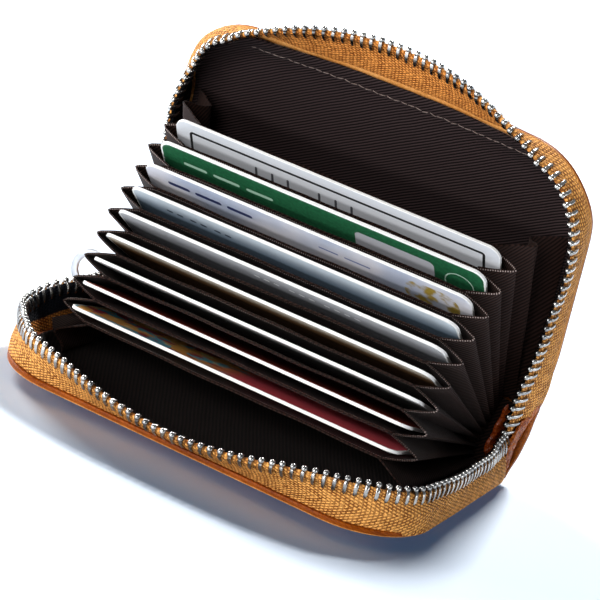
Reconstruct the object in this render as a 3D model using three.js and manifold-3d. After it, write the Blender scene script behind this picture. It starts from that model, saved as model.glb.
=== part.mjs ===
// A zip-around card case, standing open on its front cover.
// Two leather covers hinge on a narrow spine. A zip tape with metal teeth stands round the free edges
// of each cover, and an accordion of card pockets fans out from the spine between them.
// Millimetres, +Z up. The origin is the middle of the front cover's outer face, which lies on the table.
import * as THREE from "three";
import { mergeVertices } from "three/addons/utils/BufferGeometryUtils.js";
import Module from "manifold-3d";

const wasm = await Module();
wasm.setup();

// Cards, which the pockets and the covers are sized for
const cardWidth = 85.6;
const cardHeight = 54;
const cardThickness = 0.76;
const cardCorner = 3.18;
const cardShow = 4;

// Covers, with the room that they leave past a card's ends and its top
const coverEndRoom = 22.4;
const coverDepthRoom = 13;
const coverCorner = 18;
const leatherThickness = 1.2;
const boardThickness = 0.8;
const liningThickness = 0.5;
const layerGap = 0.3;
const hingeGap = 0.3;

// Spine and how far the case stands open, each angle measured from the accordion's middle plane
const spineWidth = 17;
const frontOpening = 33;
const rearOpening = 46.5;
const endFlapThickness = 1.2;
const endFlapHeight = 8;
const endTabThickness = 1.2;
const endTabHeight = 7;
const endTabInset = 4;
const endTabShoulder = 1;
const stopWidth = 2.4;
const stopLength = 2;
const stopHeight = 1.8;

// Zip tapes and teeth
const tapeInset = 1.2;
const tapeThickness = 0.7;
const tapeStart = 2.5;
const closedWedge = 3;
const zipClearance = 0.3;
const frontLean = 62;
const rearLean = 80;
const frontLeanReach = 47;
const rearLeanReach = 42;
const cordRadius = 0.6;
const toothPitch = 2.25;
const toothReach = 2.2;
const toothLeg = 0.7;
const toothThickness = 1.5;
const toothFoot = 0.5;
const toothHead = 0.72;
const toothTip = 0.42;
const tapeStep = 4;
const cordStep = 6;
const cordSides = 4;

// Zip slider and its ring
const sliderLength = 8;
const sliderStart = 8.6;
const sliderHalfHeight = 4.1;
const sliderWall = 0.75;
const sliderLip = 0.6;
const sliderClearance = 0.4;
const sliderPostHeight = 1.2;
const sliderPostLength = 2;
const bailWidth = 1.5;
const bailWall = 0.9;
const bailHole = 2.4;
const ringRadius = 4.4;
const ringWire = 0.8;

// Accordion
const pocketCount = 9;
const pocketPitch = 1.75;
const fanSpread = 42.4;
const fanBack = 3.4;
const dividerMargin = 7.6;
const dividerThickness = 0.5;
const hemHeight = 3;
const hemThickness = 0.7;
const pleatThickness = 0.25;
const pleatGap = 0.15;
const pleatBaseRoom = 2.4;
const pleatTopRoom = 7.8;
const pleatTip = 0.65;
const gussetSlack = 0.6;
const gussetFoot = 2.4;
const seatGap = 0.3;

const radians = THREE.MathUtils.degToRad;
const coverLength = cardWidth + coverEndRoom;
const coverDepth = cardHeight + coverDepthRoom;
const dividerWidth = cardWidth - dividerMargin;
const dividerHeight = cardHeight - cardShow;
const panelThickness = leatherThickness + boardThickness + liningThickness + 2 * layerGap;
const liningInset = tapeInset + tapeThickness + layerGap;
const zipSlope = Math.tan(radians(closedWedge));
const tapeMiddle = tapeInset + tapeThickness / 2;

const material = (color, roughness, metalness = 0) =>
  new THREE.MeshStandardMaterial({ color, roughness, metalness });
const leather = material("#b8701f", 0.5);
const darkLeather = material("#8a3f17", 0.35);
const board = material("#8d8272", 0.9);
const twill = material("#33251f", 0.8);
const weave = material("#c27f2a", 0.85);
const steel = material("#d5d5d8", 0.25, 1);
const cardColours = [
  "#dfe1e6",
  "#1f6b45",
  "#d8d6e6",
  "#b9c6d2",
  "#c9cbcf",
  "#d8ccb4",
  "#f2f2f0",
  "#a32b33",
  "#b8743c",
];

const part = new THREE.Group();

// Places a geometry in a group as one named piece.
function piece(group, name, geometry, finish) {
  const mesh = new THREE.Mesh(geometry, finish);
  mesh.name = name;
  group.add(mesh);
  return mesh;
}

// The closed solid of a geometry, for joins and cuts.
function solid(geometry) {
  const bare = new THREE.BufferGeometry().setAttribute("position", geometry.getAttribute("position"));
  bare.setIndex(geometry.index);
  const merged = mergeVertices(bare, 1e-4);
  const triVerts = new Uint32Array(merged.index.array);
  const vertProperties = new Float32Array(merged.attributes.position.array);
  return new wasm.Manifold(new wasm.Mesh({ numProp: 3, vertProperties, triVerts }));
}

// The geometry of several closed geometries joined into one body.
function joined(geometries) {
  const mesh = wasm.Manifold.union(geometries.map(solid)).getMesh();
  const geometry = new THREE.BufferGeometry();
  geometry.setAttribute("position", new THREE.BufferAttribute(mesh.vertProperties, 3));
  geometry.setIndex(new THREE.BufferAttribute(mesh.triVerts, 1));
  geometry.computeVertexNormals();
  return geometry;
}

// An outline in x and y raised along z from low by thickness.
function plate(shape, low, thickness, curveSegments = 8) {
  const geometry = new THREE.ExtrudeGeometry(shape, { depth: thickness, bevelEnabled: false, curveSegments });
  return geometry.translate(0, 0, low);
}

// An outline in y and z carried along x, centred on middle.
function bar(shape, middle, length, curveSegments = 8) {
  const geometry = new THREE.ExtrudeGeometry(shape, { depth: length, bevelEnabled: false, curveSegments });
  const turned = new THREE.Matrix4().makeBasis(
    new THREE.Vector3(0, 1, 0),
    new THREE.Vector3(0, 0, 1),
    new THREE.Vector3(1, 0, 0),
  );
  return geometry.applyMatrix4(turned).translate(middle - length / 2, 0, 0);
}

function polygon(points) {
  return new THREE.Shape(points.map(([x, y]) => new THREE.Vector2(x, y)));
}

// A geometry from a list of rings of points, each joined to the next, with flat ends made of triangles.
function loft(rings, endTriangles) {
  const count = rings[0].length;
  const index = [];
  for (let j = 0; j + 1 < rings.length; j++)
    for (let k = 0; k < count; k++) {
      const [a, b] = [j * count + k, j * count + ((k + 1) % count)];
      index.push(a, b, b + count, a, b + count, a + count);
    }
  const last = (rings.length - 1) * count;
  for (const [a, b, c] of endTriangles) index.push(a, c, b, last + a, last + b, last + c);
  const geometry = new THREE.BufferGeometry().setFromPoints(rings.flat());
  geometry.setIndex(index);
  geometry.computeVertexNormals();
  return geometry;
}

// The end triangles of a sheet's ring: its first half is one face, and its second half the other.
function sheetEnds(count) {
  const triangles = [];
  for (let k = 0; k + 1 < count / 2; k++) {
    const [a, b, c, d] = [k, k + 1, count - 2 - k, count - 1 - k];
    triangles.push([a, b, c], [a, c, d]);
  }
  return triangles;
}

// The end triangles of a round ring.
function roundEnds(count) {
  return Array.from({ length: count - 2 }, (_, k) => [0, k + 1, k + 2]);
}

// A cover's outline, with its hinge edge along y = 0, drawn in by inset from the leather's edge.
function coverOutline(inset) {
  const half = coverLength / 2 - inset;
  const far = -(coverDepth - inset);
  const radius = coverCorner - inset;
  const shape = new THREE.Shape();
  shape.moveTo(half, -hingeGap);
  shape.lineTo(-half, -hingeGap);
  shape.lineTo(-half, far + radius);
  shape.absarc(-half + radius, far + radius, radius, Math.PI, 1.5 * Math.PI);
  shape.lineTo(half - radius, far);
  shape.absarc(half - radius, far + radius, radius, 1.5 * Math.PI, 2 * Math.PI);
  return shape;
}

// The line of the zip tape round a cover, by the distance along it from the middle of the long edge.
const zipHalf = coverLength / 2 - tapeMiddle;
const zipFar = coverDepth - tapeMiddle;
const zipRadius = coverCorner - tapeMiddle;
const zipStraight = zipHalf - zipRadius;
const zipArc = (zipRadius * Math.PI) / 2;
const zipSide = zipFar - zipRadius;

function zipStation(along) {
  const side = Math.sign(along) || 1;
  const distance = Math.abs(along);
  if (distance <= zipStraight)
    return { x: along, depth: zipFar, outward: new THREE.Vector2(0, -1) };
  const turn = Math.min((distance - zipStraight) / zipRadius, Math.PI / 2);
  const down = Math.max(distance - zipStraight - zipArc, 0);
  return {
    x: side * (zipStraight + zipRadius * Math.sin(turn)),
    depth: zipSide + zipRadius * Math.cos(turn) - down,
    outward: new THREE.Vector2(side * Math.sin(turn), -Math.cos(turn)),
  };
}

// How far the tape leans outwards: most at the middle of the long edge, and not at all past its reach.
function zipLean(along, zip) {
  const share = Math.min(Math.abs(along) / zip.reach, 1);
  return radians(zip.lean) * Math.cos((Math.PI * share) / 2);
}

// The height of the tooth tips over the lining: they meet in the parting plane when the case is shut.
function zipHeight(depth) {
  return spineWidth / 2 - zipClearance + depth * zipSlope;
}

// The directions at a place of the tape: up its leaning wall, across the wall and straight outwards.
function tapeFrame(along, zip) {
  const { x, depth, outward } = zipStation(along);
  const lean = zipLean(along, zip);
  const out = new THREE.Vector3(outward.x, outward.y, 0);
  const up = new THREE.Vector3(0, 0, Math.cos(lean)).addScaledVector(out, Math.sin(lean));
  const across = out.clone().multiplyScalar(Math.cos(lean));
  across.z = -Math.sin(lean);
  return { foot: new THREE.Vector3(x, -depth, 0), out, up, across, depth };
}

// A point of the tape, at a height up its wall and an offset across it from the middle.
function tapePoint(frame, height, offset) {
  return frame.foot.clone().addScaledVector(frame.up, height).addScaledVector(frame.across, offset);
}

function steps(from, to, longest) {
  const count = Math.ceil(Math.abs(to - from) / longest);
  return Array.from({ length: count + 1 }, (_, k) => from + ((to - from) * k) / count);
}

// The zip tape: its foot lies between the leather and the lining, and the wall above leans out.
function tapeGeometry(zip) {
  const foot = -(panelThickness - leatherThickness - layerGap);
  const half = tapeThickness / 2;
  const end = zipStraight + zipArc + zipSide - tapeStart;
  const rings = steps(end, -end, tapeStep).map((station) => {
    const frame = tapeFrame(station, zip);
    const top = zipHeight(frame.depth) - toothReach - cordRadius - layerGap;
    const low = (offset) => frame.foot.clone().addScaledVector(frame.out, offset).setZ(foot);
    return [
      low(half),
      tapePoint(frame, 0, half),
      tapePoint(frame, top, half),
      tapePoint(frame, top, -half),
      tapePoint(frame, 0, -half),
      low(-half),
    ];
  });
  return loft(rings, sheetEnds(rings[0].length));
}

// One zip tooth: legs clamped on the cord, widening to a head with a narrower tip.
const toothShape = polygon([
  [-toothFoot, -toothLeg],
  [toothFoot, -toothLeg],
  [toothHead, toothReach - toothHead],
  [toothTip, toothReach],
  [-toothTip, toothReach],
  [-toothHead, toothReach - toothHead],
]);

// The row of teeth and the cord that carries it, along the top of a tape.
function chainGeometry(zip) {
  const right = zipStraight + zipArc + zipSide - tapeStart;
  const left = zipStraight + zipArc + zipSide - sliderStart - sliderLength - toothPitch / 2;
  const [first, last] = zip.mirrored ? [-right, left] : [-left, right];
  const cordRings = steps(last, first, cordStep).map((station) => {
    const frame = tapeFrame(station, zip);
    const height = zipHeight(frame.depth) - toothReach;
    return Array.from({ length: cordSides }, (_, k) => {
      const angle = (2 * Math.PI * (k + 0.5)) / cordSides;
      return tapePoint(frame, height + cordRadius * Math.sin(angle), cordRadius * Math.cos(angle));
    });
  });
  const pieces = [loft(cordRings, roundEnds(cordSides))];
  const count = Math.floor((last - first) / toothPitch);
  const margin = (last - first - (count - 1) * toothPitch) / 2;
  for (let k = 0; k < count; k++) {
    const frame = tapeFrame(first + margin + k * toothPitch, zip);
    const tangent = frame.up.clone().cross(frame.across);
    const tooth = plate(toothShape, -toothThickness / 2, toothThickness);
    tooth.applyMatrix4(new THREE.Matrix4().makeBasis(tangent, frame.up, frame.across));
    const root = tapePoint(frame, zipHeight(frame.depth) - toothReach, 0);
    pieces.push(tooth.translate(root.x, root.y, root.z));
  }
  return joined(pieces);
}

// A cover, in a group whose x axis is its hinge line and whose inner face is z = 0.
function addCover(group, name, zip) {
  const leatherLow = -panelThickness;
  const boardLow = leatherLow + leatherThickness + layerGap;
  piece(group, name + "_leather", plate(coverOutline(0), leatherLow, leatherThickness), leather);
  piece(group, name + "_board", plate(coverOutline(liningInset), boardLow, boardThickness), board);
  piece(group, name + "_lining", plate(coverOutline(liningInset), -liningThickness, liningThickness), twill);
  piece(group, name + "_tape", tapeGeometry(zip), weave);
  piece(group, name + "_chain", chainGeometry(zip), steel);
}

const front = new THREE.Group();
front.position.set(0, coverDepth / 2, panelThickness);
part.add(front);
addCover(front, "front", { lean: frontLean, reach: frontLeanReach, mirrored: false });

// The spine's y axis runs from the front hinge to the rear one, and its z axis along the fan's middle.
const spine = new THREE.Group();
spine.rotation.x = radians(90 - frontOpening);
front.add(spine);

const rearTurn = new THREE.Group();
rearTurn.position.y = spineWidth;
rearTurn.rotation.x = radians(90 - rearOpening);
spine.add(rearTurn);
const rear = new THREE.Group();
rear.rotation.z = Math.PI;
rearTurn.add(rear);
addCover(rear, "rear", { lean: rearLean, reach: rearLeanReach, mirrored: true });

// The spine leather wraps round both hinges, and its ends turn up into pointed flaps.
function spineLeatherGeometry() {
  const outer = panelThickness;
  const inner = panelThickness - leatherThickness;
  const down = -Math.PI / 2;
  const frontEnd = down - radians(90 - frontOpening);
  const rearEnd = down + radians(90 - rearOpening);
  const wrap = new THREE.Shape();
  wrap.absarc(0, 0, outer, frontEnd, down);
  wrap.absarc(spineWidth, 0, outer, down, rearEnd);
  wrap.absarc(spineWidth, 0, inner, rearEnd, down, true);
  wrap.absarc(0, 0, inner, down, frontEnd, true);
  const pieces = [bar(wrap, 0, coverLength, 6)];
  const flapFoot = -outer + leatherThickness / 2;
  const flap = polygon([
    [hingeGap, flapFoot],
    [spineWidth - hingeGap, flapFoot],
    [spineWidth - hingeGap, 0],
    [spineWidth / 2 + stopWidth / 2, endFlapHeight],
    [spineWidth / 2 - stopWidth / 2, endFlapHeight],
    [hingeGap, 0],
  ]);
  const place = zipHalf + toothThickness / 2 + layerGap + endFlapThickness / 2;
  for (const side of [-1, 1]) pieces.push(bar(flap, side * place, endFlapThickness));
  return joined(pieces);
}

// The section of a flat strip laid along the spine.
function strip(low, thickness) {
  return polygon([
    [hingeGap, low],
    [spineWidth - hingeGap, low],
    [spineWidth - hingeGap, low + thickness],
    [hingeGap, low + thickness],
  ]);
}

const stripLength = coverLength - 2 * tapeInset;
const boardLow = -panelThickness + leatherThickness + layerGap;
piece(spine, "spine_leather", spineLeatherGeometry(), leather);
piece(spine, "spine_board", bar(strip(boardLow, boardThickness), 0, stripLength), board);
piece(spine, "spine_lining", bar(strip(-liningThickness, liningThickness), 0, stripLength), twill);

// The end tabs stand inside the tape ends, and the bottom stop sits between tab and flap on the right.
const tabShape = polygon([
  [endTabShoulder, seatGap],
  [spineWidth - endTabShoulder, seatGap],
  [spineWidth / 2 + stopWidth, endTabHeight],
  [spineWidth / 2 - stopWidth, endTabHeight],
]);
for (const [word, side] of [["left", -1], ["right", 1]]) {
  const place = side * (coverLength / 2 - endTabInset - endTabThickness / 2);
  piece(spine, "end_tab_" + word, bar(tabShape, place, endTabThickness), darkLeather);
}
const stop = new THREE.BoxGeometry(stopLength, stopWidth, stopHeight);
const stopPlace = coverLength / 2 - endTabInset + layerGap + stopLength / 2;
piece(spine, "bottom_stop", stop, steel).position.set(stopPlace, spineWidth / 2, seatGap + stopHeight / 2);

// The accordion: dividers sewn to the spine, pleats that join their side edges, and a card in each pocket.
// Place 0 is the rear divider and pocketCount the front one, and a pocket lies halfway between two.
function fanGroup(place) {
  const group = new THREE.Group();
  group.position.set(0, spineWidth / 2 - fanShare(place) * pocketCount * pocketPitch, seatGap);
  group.rotation.x = radians(fanTurn(place));
  spine.add(group);
  return group;
}

function fanShare(place) {
  return place / pocketCount - 0.5;
}

// How far a place turns from the accordion's middle: evenly, and a little further back at the rear.
function fanTurn(place) {
  const share = fanShare(place);
  return share * fanSpread - fanBack * ((0.5 - share) ** 4 - 0.5 ** 4);
}

const [thin, thick] = [dividerThickness / 2, hemThickness / 2];
const hemFoot = dividerHeight - hemHeight;
const dividerShape = polygon([
  [thin, 0],
  [thin, hemFoot],
  [thick, hemFoot + thick - thin],
  [thick, dividerHeight],
  [-thick, dividerHeight],
  [-thick, hemFoot + thick - thin],
  [-thin, hemFoot],
  [-thin, 0],
]);

// A pleat: a folded sheet whose open edges lie at the dividers' ends and whose crease points outwards.
function pleatGeometry(side, foot, edge, halfAngle) {
  const open = dividerWidth / 2 + seatGap;
  const widen = Math.tan(radians(halfAngle));
  const rings = [dividerHeight, foot].map((height) => {
    const room = pleatBaseRoom + ((pleatTopRoom - pleatBaseRoom) * height) / dividerHeight;
    const far = (cardWidth + room) / 2;
    const wide = edge + height * widen;
    const tip = Math.min(pleatTip, wide);
    const slope = (wide - tip) / (far - open);
    const innerWide = wide - pleatThickness * Math.hypot(1, slope);
    const innerFar = far - pleatThickness;
    const innerTip = innerWide - slope * (innerFar - open);
    const section = [
      [open, wide],
      [far, tip],
      [far, -tip],
      [open, -wide],
      [open, -innerWide],
      [innerFar, -innerTip],
      [innerFar, innerTip],
      [open, innerWide],
    ];
    return section.map(([x, y]) => new THREE.Vector3(side * x, side * y, height));
  });
  return loft(rings, sheetEnds(rings[0].length));
}

const cardShape = new THREE.Shape();
const [cardHalf, cardTop] = [cardWidth / 2, cardHeight];
cardShape.moveTo(-cardHalf + cardCorner, 0);
cardShape.lineTo(cardHalf - cardCorner, 0);
cardShape.absarc(cardHalf - cardCorner, cardCorner, cardCorner, -Math.PI / 2, 0);
cardShape.absarc(cardHalf - cardCorner, cardTop - cardCorner, cardCorner, 0, Math.PI / 2);
cardShape.absarc(-cardHalf + cardCorner, cardTop - cardCorner, cardCorner, Math.PI / 2, Math.PI);
cardShape.absarc(-cardHalf + cardCorner, cardCorner, cardCorner, Math.PI, 1.5 * Math.PI);

for (let place = 0; place <= pocketCount; place++)
  piece(fanGroup(place), "divider_" + place, bar(dividerShape, 0, dividerWidth), twill);

const sides = [["left", -1], ["right", 1]];
for (let pocket = 1; pocket <= pocketCount; pocket++) {
  const group = fanGroup(pocket - 0.5);
  const pocketAngle = (fanTurn(pocket) - fanTurn(pocket - 1)) / 2;
  for (const [word, side] of sides) {
    const geometry = pleatGeometry(side, 0, pocketPitch / 2 - pleatGap, pocketAngle);
    piece(group, "pleat_" + word + "_" + pocket, geometry, twill);
  }
  const card = plate(cardShape, -cardThickness / 2, cardThickness, 3).rotateX(Math.PI / 2);
  piece(group, "card_" + pocket, card, material(cardColours[pocket - 1], 0.4));
}

// The compartments in front of and behind the accordion have a wider pleat at each end.
const sideRoom = (spineWidth - pocketCount * pocketPitch) / 2;
const compartments = [
  ["front", frontOpening, -1, pocketCount],
  ["rear", rearOpening, 1, 0],
];
for (const [name, opening, toward, place] of compartments) {
  const group = new THREE.Group();
  const turn = -toward * fanTurn(place);
  const middle = (opening + turn) / 2;
  const half = (opening - turn) / 2;
  const base = spineWidth / 2 + toward * (spineWidth / 2 - sideRoom / 2);
  group.position.set(0, base, seatGap);
  group.rotation.x = radians(-toward * middle);
  spine.add(group);
  for (const [word, side] of sides) {
    const geometry = pleatGeometry(side, gussetFoot, sideRoom / 2, half - gussetSlack);
    piece(group, name + "_gusset_" + word, geometry, twill);
  }
}

// The slider waits on the bare end of the front tape, left of the spine, and its ring stands out from it.
function sliderGeometry() {
  const gap = toothThickness / 2 + sliderClearance;
  const outer = gap + sliderWall;
  const slot = tapeThickness / 2 + layerGap;
  const [high, low] = [sliderHalfHeight, sliderHalfHeight - sliderLip];
  const shell = [
    [outer, -high],
    [outer, high],
    [slot, high],
    [slot, low],
    [gap, low],
    [gap, -low],
    [slot, -low],
    [slot, -high],
  ];
  const carried = (shape) =>
    new THREE.ExtrudeGeometry(shape, { depth: sliderLength, bevelEnabled: false })
      .translate(0, 0, -sliderLength / 2)
      .rotateX(Math.PI / 2);
  const post = new THREE.BoxGeometry(2 * gap + sliderWall, sliderPostLength, sliderPostHeight);
  post.translate(0, sliderLength / 2 - sliderPostLength / 2, sliderPostHeight / 2);
  const bailOuter = outer + bailHole + bailWall;
  const bailHalf = bailHole / 2 + bailWall;
  const bailFoot = -outer + sliderWall / 2;
  const bail = polygon([
    [bailFoot, -bailHole / 2],
    [-outer - bailHole, -bailHole / 2],
    [-outer - bailHole, bailHole / 2],
    [bailFoot, bailHole / 2],
    [bailFoot, bailHalf],
    [-bailOuter + bailWall, bailHalf],
    [-bailOuter, bailHalf - bailWall],
    [-bailOuter, -bailHalf + bailWall],
    [-bailOuter + bailWall, -bailHalf],
    [bailFoot, -bailHalf],
  ]);
  const mirrored = shell.map(([x, z]) => [-x, z]).reverse();
  const walls = [shell, mirrored].map((outline) => carried(polygon(outline)));
  return joined([...walls, post, plate(bail, -bailWidth / 2, bailWidth)]);
}

const sliderDepth = sliderStart + sliderLength / 2;
const slider = new THREE.Group();
slider.position.set(-zipHalf, -sliderDepth, zipHeight(sliderDepth) + zipClearance);
slider.rotation.x = -radians(closedWedge);
front.add(slider);
piece(slider, "zip_slider", sliderGeometry(), steel);

// The ring passes through the bail with room all round.
const bailMiddle = toothThickness / 2 + sliderClearance + sliderWall + bailHole / 2;
const ring = new THREE.TorusGeometry(ringRadius, ringWire, 8, 24).rotateX(Math.PI / 2);
piece(slider, "pull_ring", ring, steel).position.x = -bailMiddle - ringRadius;

export default part;
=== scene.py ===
"""Dresses a packed zip-around card case in leather, cloth, metal and cards, and sets up its photograph.

Lengths in this file are millimetres until a mesh is made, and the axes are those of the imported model.
"""

import types
from math import copysign, cos, pi, radians, sin, sqrt, tan

import bmesh
import bpy
import numpy as np
from mathutils import Euler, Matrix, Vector


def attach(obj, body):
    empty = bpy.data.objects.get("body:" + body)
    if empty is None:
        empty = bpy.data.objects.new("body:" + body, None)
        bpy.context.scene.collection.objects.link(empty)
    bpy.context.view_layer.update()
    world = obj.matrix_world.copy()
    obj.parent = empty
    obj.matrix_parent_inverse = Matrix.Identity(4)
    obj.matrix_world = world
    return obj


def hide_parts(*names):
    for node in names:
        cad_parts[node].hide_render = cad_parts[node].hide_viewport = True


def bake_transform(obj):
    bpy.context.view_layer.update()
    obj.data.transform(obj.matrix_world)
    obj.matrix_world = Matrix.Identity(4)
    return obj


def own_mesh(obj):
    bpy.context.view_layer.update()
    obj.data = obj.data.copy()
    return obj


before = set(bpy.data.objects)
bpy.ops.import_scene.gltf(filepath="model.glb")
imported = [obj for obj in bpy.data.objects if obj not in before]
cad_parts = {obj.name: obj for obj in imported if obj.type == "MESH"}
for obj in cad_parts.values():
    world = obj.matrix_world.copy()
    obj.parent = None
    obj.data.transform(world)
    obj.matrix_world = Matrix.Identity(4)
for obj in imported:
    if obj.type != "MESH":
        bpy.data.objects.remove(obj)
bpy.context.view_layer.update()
scene = bpy.context.scene
MM = 0.001
rng = np.random.default_rng(7)

# Covers, spine and how far the case stands open
COVER_LENGTH = 108.0
COVER_DEPTH = 67.0
COVER_CORNER = 18.0
PANEL = 3.1
LEATHER = 1.4
LEATHER_EDGE = 0.34
PAINTED_HIGHLIGHT_WIDTH = 0.35
INNER_PAINT = 3.0
SPINE = 17.0
SPINE_DRAW = 1.0
SPINE_CLEAR = 6.0
SPINE_END = COVER_LENGTH / 2 - SPINE_DRAW
FRONT_OPENING = 33.0
REAR_OPENING = 46.5
LINING_INSET = 2.2
BOARD_INSET = 2.6
BOARD_MIDDLE = -1.05
BOARD_THICKNESS = 0.75
HINGE_CURL = 1.9
HINGE_REACH = 5.0
CURL_RUN = 9.0
REAR_HEM = 3.2
STITCH = 1.9
STITCH_RADIUS = 0.11

# Caps and tabs at the spine's ends
CAP_FOOT = -2.0
CAP_TIP = 4.0
CAP_TOP = 2.7
CAP_DRAW = 1.5
CAP_HOLLOW = 1.5
CAP_THICKNESS = 0.9
TAB_PLACE = 46.6
TAB_HALF = 6.4
TAB_TALL = 3.2
TAB_THICKNESS = 1.8

# Zip
TAPE_MIDDLE = 1.55
TAPE_HALF = 0.3
TAPE_SLIP = -0.15
TAPE_BULGE = 0.9
TAPE_SINK = 2.35
CORD_HEIGHT = 1.45
CORD_DROP = 0.75
CLOSED_ANGLE = radians(3)
CLOSED_SLOPE = tan(CLOSED_ANGLE)
ROOT_HEIGHT = 6.0
TOOTH_PITCH = 2.3
TOOTH_START = 0.6
SIDE_LEAN_REACH = 16.0
LEFT_END_RUN = 8.0
LEFT_END_DRAW = 1.1
SLIDER_START = 8.6
SLIDER_LENGTH = 8.0
SLIDER_TALL = 4.1
RING_RADIUS = 4.4
RING_START = 3.1
ZIP_HALF = COVER_LENGTH / 2 - TAPE_MIDDLE
ZIP_RADIUS = COVER_CORNER - TAPE_MIDDLE
ZIP_STRAIGHT = ZIP_HALF - ZIP_RADIUS
ZIP_ARC = ZIP_RADIUS * pi / 2
ZIP_SIDE = COVER_DEPTH - TAPE_MIDDLE - ZIP_RADIUS
ZIP_RUN = ZIP_STRAIGHT + ZIP_ARC + ZIP_SIDE
GRAIN_WIDTH = 0.66
GRAIN_LENGTH = 1.05
GRAIN_SLANT = radians(24)
TURN_HEIGHT = 4.4

# Accordion and cards
POCKETS = 9
POCKET_PITCH = 1.75
FAN_SPREAD = 42.4
FAN_BACK = 3.4
DIVIDER_WIDTH = 78.0
DIVIDER_HEIGHT = 50.0
PLEAT_START = 38.8
PLEAT_TIP = 44.2
PLEAT_FLARE = 2.9
PLEAT_CLOTH = 0.34
SEAT = 0.3
CARD_WIDTH = 85.6
CARD_HEIGHT = 54.0
CARD_THICKNESS = 0.76
CARD_CORNER = 3.18
CARD_BEVEL = 0.1

X = np.array([1.0, 0.0, 0.0])
SIDES = (("left", -1), ("right", 1))


def turned(degrees):
    """The unit vector at an angle in the y-z plane."""
    angle = radians(degrees)
    return np.array([0.0, cos(angle), sin(angle)])


STRIP_ANGLE = 90 - FRONT_OPENING
FAN_ANGLE = STRIP_ANGLE + 90
REAR_ANGLE = STRIP_ANGLE + 90 - REAR_OPENING
STRIP = turned(STRIP_ANGLE)
FAN_MIDDLE = turned(FAN_ANGLE)
FRONT_HINGE = np.array([0.0, COVER_DEPTH / 2, PANEL])
REAR_HINGE = FRONT_HINGE + SPINE * STRIP


def placed(origin, *steps):
    """Points at some distances from an origin along some directions."""
    point = origin
    for distance, (_, way) in zip(np.broadcast_arrays(*(far for far, _ in steps)), steps):
        point = point + distance[..., None] * way
    return point


def metres(point):
    return tuple(float(v) * MM for v in point)


def smooth(low, high, value):
    """A smooth rise from 0 at low to 1 at high."""
    t = np.clip((value - low) / (high - low), 0, 1)
    return t * t * (3 - 2 * t)


def squared(value, power):
    """A sine or cosine brought nearer to a square wave, its sign kept."""
    return copysign(abs(value) ** power, value)


def half_width(edge, width, corner):
    """Half of a round-cornered outline's width at a distance from its long edge."""
    return width - corner + np.sqrt(np.maximum(corner**2 - np.maximum(corner - edge, 0) ** 2, 0))


def inside_outline(x, edge, width, corner):
    """The distance in from a round-cornered outline, by x and the distance from its long edge."""
    beyond = np.maximum(np.abs(x) - (width - corner), 0)
    ahead = np.maximum(corner - edge, 0)
    straight = np.minimum(width - np.abs(x), edge)
    rounded = np.maximum(corner - np.hypot(beyond, ahead), 0)
    return np.where((beyond > 0) & (ahead > 0), rounded, straight)


class Cover(types.SimpleNamespace):
    """A cover's own axes: x along the hinge, depth away from it and height up from the lining.

    curl is how far its edge curls up, and corner_curl how much further its corners do. The zip's row leans
    out in the middle of the long edge, over a reach to the left and right, its root raised by flare. On each
    side it leans by some degrees about a depth, and its left side rises. Its right end is drawn in and up
    from a depth on, and the cloth is cut where the row goes on to the other row's end. slip is how far out
    the tape's foot comes beside the long edge, over a run along the row. slope is the spine's slope behind
    the hinge, and crumple how far the gussets' cloth is crumpled.
    """

    def at(self, x, depth, height):
        return placed(self.hinge, (x, X), (depth, self.run), (height, self.inward))

    def corner(self, x, depth):
        """How much further the panel's edge is curled up toward its corners."""
        return self.corner_curl * smooth(10.0, 40.0, np.abs(x)) * smooth(44.0, 62.0, depth)

    def curled(self, near, depth, x):
        """How far the cover's panel is curled up, by the distance in from its outline, the depth and x."""
        most = self.curl + (HINGE_CURL - self.curl) * smooth(10.0, 0.0, depth) + self.corner(x, depth)
        return most * (1 - smooth(0.0, CURL_RUN, near))


FRONT = Cover(
    name="front", body="front_cover", hinge=FRONT_HINGE, run=turned(180), inward=turned(90),
    curl=2.7, corner_curl=0.0, crumple=0.6, lean=radians(57), reach=(47.3, 44.0), flare=1.2,
    left_lean=34, left_depth=42, left_rise=4.2, right_lean=5.5, right_depth=35,
    end_run=18.0, end_depth=-2.0, end_draw=2.4, end_rise=1.0, cloth_end=1.0,
    slip=1.6, slip_run=(40, 60), slope=tan(radians(STRIP_ANGLE)),
)
REAR = Cover(
    name="rear", body="rear_cover", hinge=REAR_HINGE, run=turned(REAR_ANGLE), inward=turned(REAR_ANGLE + 90),
    curl=1.0, corner_curl=4.5, crumple=0.3, lean=radians(72), reach=(40.2, 40.9), flare=0.0,
    left_lean=-18, left_depth=56, left_rise=0.8, right_lean=10, right_depth=41,
    end_run=28.0, end_depth=-4.2, end_draw=2.8, end_rise=1.8, cloth_end=-0.6,
    slip=0.9, slip_run=(20, 40), slope=tan(radians(90 - REAR_OPENING)),
)


def on_spine(x, across, height):
    """Points of the spine, across it from the front hinge and up along the accordion's middle."""
    return placed(FRONT_HINGE, (x, X), (across, STRIP), (height, FAN_MIDDLE))


class Fan:
    """The axes of a divider, or of a pocket at half a place: up along it and toward the front cover."""

    def __init__(self, place):
        share = place / POCKETS - 0.5
        self.turn = share * FAN_SPREAD - FAN_BACK * ((0.5 - share) ** 4 - 0.5**4)
        self.base = on_spine(0.0, SPINE / 2 - share * POCKETS * POCKET_PITCH, SEAT)
        self.up = turned(FAN_ANGLE + self.turn)
        self.front = turned(FAN_ANGLE + 90 + self.turn)

    def at(self, x, height, front):
        return placed(self.base, (x, X), (height, self.up), (front, self.front))


# Meshes


def shown(name, mesh, sharp):
    """An object for a mesh, smooth up to an angle."""
    mesh.shade_smooth()
    mesh.set_sharp_from_angle(angle=radians(sharp))
    mesh.update()
    piece = bpy.data.objects.new(name, mesh)
    scene.collection.objects.link(piece)
    return piece


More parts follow.
